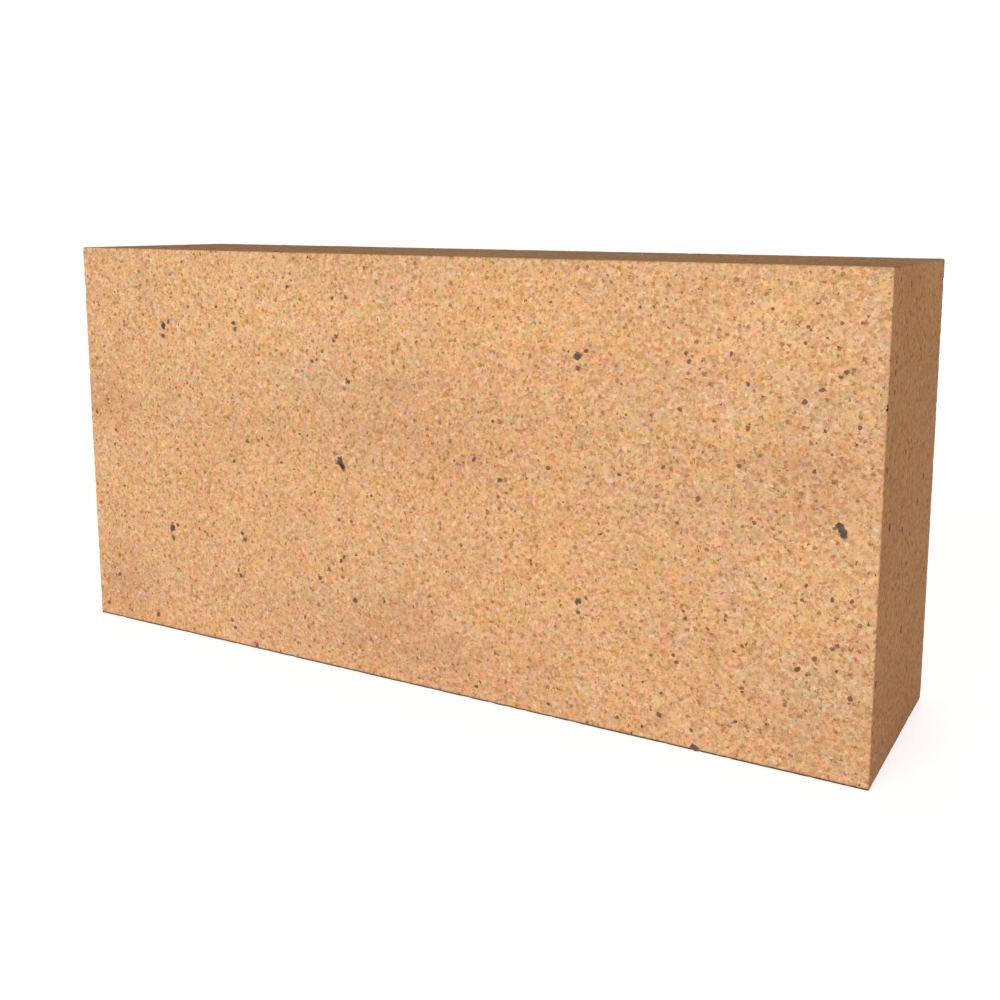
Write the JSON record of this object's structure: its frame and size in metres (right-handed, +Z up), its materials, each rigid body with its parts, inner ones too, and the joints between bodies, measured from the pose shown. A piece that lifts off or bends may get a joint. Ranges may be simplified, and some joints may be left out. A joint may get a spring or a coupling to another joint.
{
  "type": "refractory firebrick",
  "caption": "Solid rectangular fireclay brick with plain flat faces and crisp edges, for lining kilns, stoves and fireplaces.",
  "frame": {"origin": "middle of the long narrow face the brick stands on, at floor level", "axes": "+X along the length, from the left end to the right end; +Y through the thickness, from the front bed face to the back one; +Z up, across the width"},
  "size_m": [0.23, 0.056, 0.11],
  "materials": {
    "fireclay": "matte"
  },
  "bodies": {
    "root": {"firebrick": "fireclay"}
  },
  "joints": []
}
